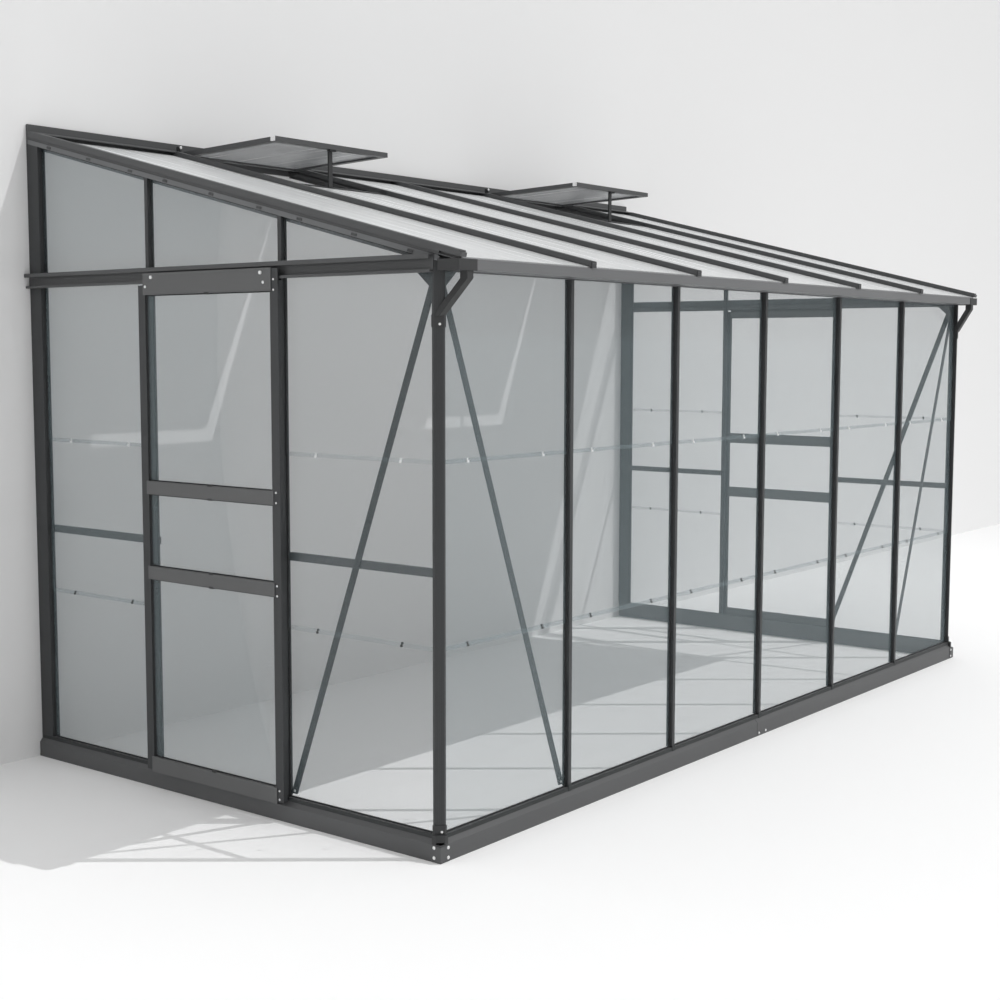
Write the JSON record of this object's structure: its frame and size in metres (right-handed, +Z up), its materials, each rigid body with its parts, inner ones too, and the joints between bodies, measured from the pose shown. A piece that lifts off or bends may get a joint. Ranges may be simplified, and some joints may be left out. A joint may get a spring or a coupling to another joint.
{
  "type": "lean-to greenhouse",
  "caption": "Lean-to greenhouse: dark aluminium glazing bars on a low base, lapped glass walls, a sheet roof with propped vents, a front gutter and a sliding door in each gable.",
  "frame": {"origin": "on the ground, in the middle of the bounding box", "axes": "+X along the front wall, +Y from the front toward the wall it leans on, +Z up"},
  "size_m": [3.808, 1.95, 2.223],
  "materials": {
    "frame": "satin powder coat",
    "base": "satin powder coat",
    "door_frame": "satin powder coat",
    "gutter": "satin powder coat",
    "moulding": "matt",
    "wall_glass": "clear",
    "roof_sheet": "clear fluted",
    "roller": "matt"
  },
  "bodies": {
    "frame": {"base_corner_plates": "base", "base_front_rail": "base", "base_left_rail": "base", "base_right_rail": "base", "corner_braces": "frame", "corner_posts": "frame", "corner_shoes": "moulding", "front_eave_beam": "frame", "front_glass_lower": "wall_glass", "front_glass_middle": "wall_glass", "front_glass_upper": "wall_glass", "front_glazing_bars": "frame", "front_gutter": "gutter", "gutter_outlets": "moulding", "left_gable_glass": "wall_glass", "left_gable_header": "frame", "left_gable_posts": "frame", "left_gable_rafter": "frame", "left_gable_rails": "frame", "left_gable_top_glass": "wall_glass", "left_vent_cross_bars": "frame", "left_vent_side_bars": "frame", "right_gable_glass": "wall_glass", "right_gable_header": "frame", "right_gable_posts": "frame", "right_gable_rafter": "frame", "right_gable_rails": "frame", "right_gable_top_glass": "wall_glass", "right_vent_cross_bars": "frame", "right_vent_side_bars": "frame", "roof_rafters": "frame", "roof_sheets": "roof_sheet", "vent_panes": "roof_sheet", "vent_sills": "frame", "vent_stays": "frame", "wall_bar": "frame", "wall_posts": "frame"},
    "left_door": {"left_door_glass": "wall_glass", "left_door_rails": "door_frame", "left_door_rollers": "roller", "left_door_stiles": "door_frame"},
    "right_door": {"right_door_glass": "wall_glass", "right_door_rails": "door_frame", "right_door_rollers": "roller", "right_door_stiles": "door_frame"}
  },
  "joints": [
    {"name": "left_door_slide", "type": "slide", "parent": "frame", "child": "left_door", "axis": [0, 1, 0], "range_m": [0, 0.6]},
    {"name": "right_door_slide", "type": "slide", "parent": "frame", "child": "right_door", "axis": [0, 1, 0], "range_m": [0, 0.6]}
  ]
}
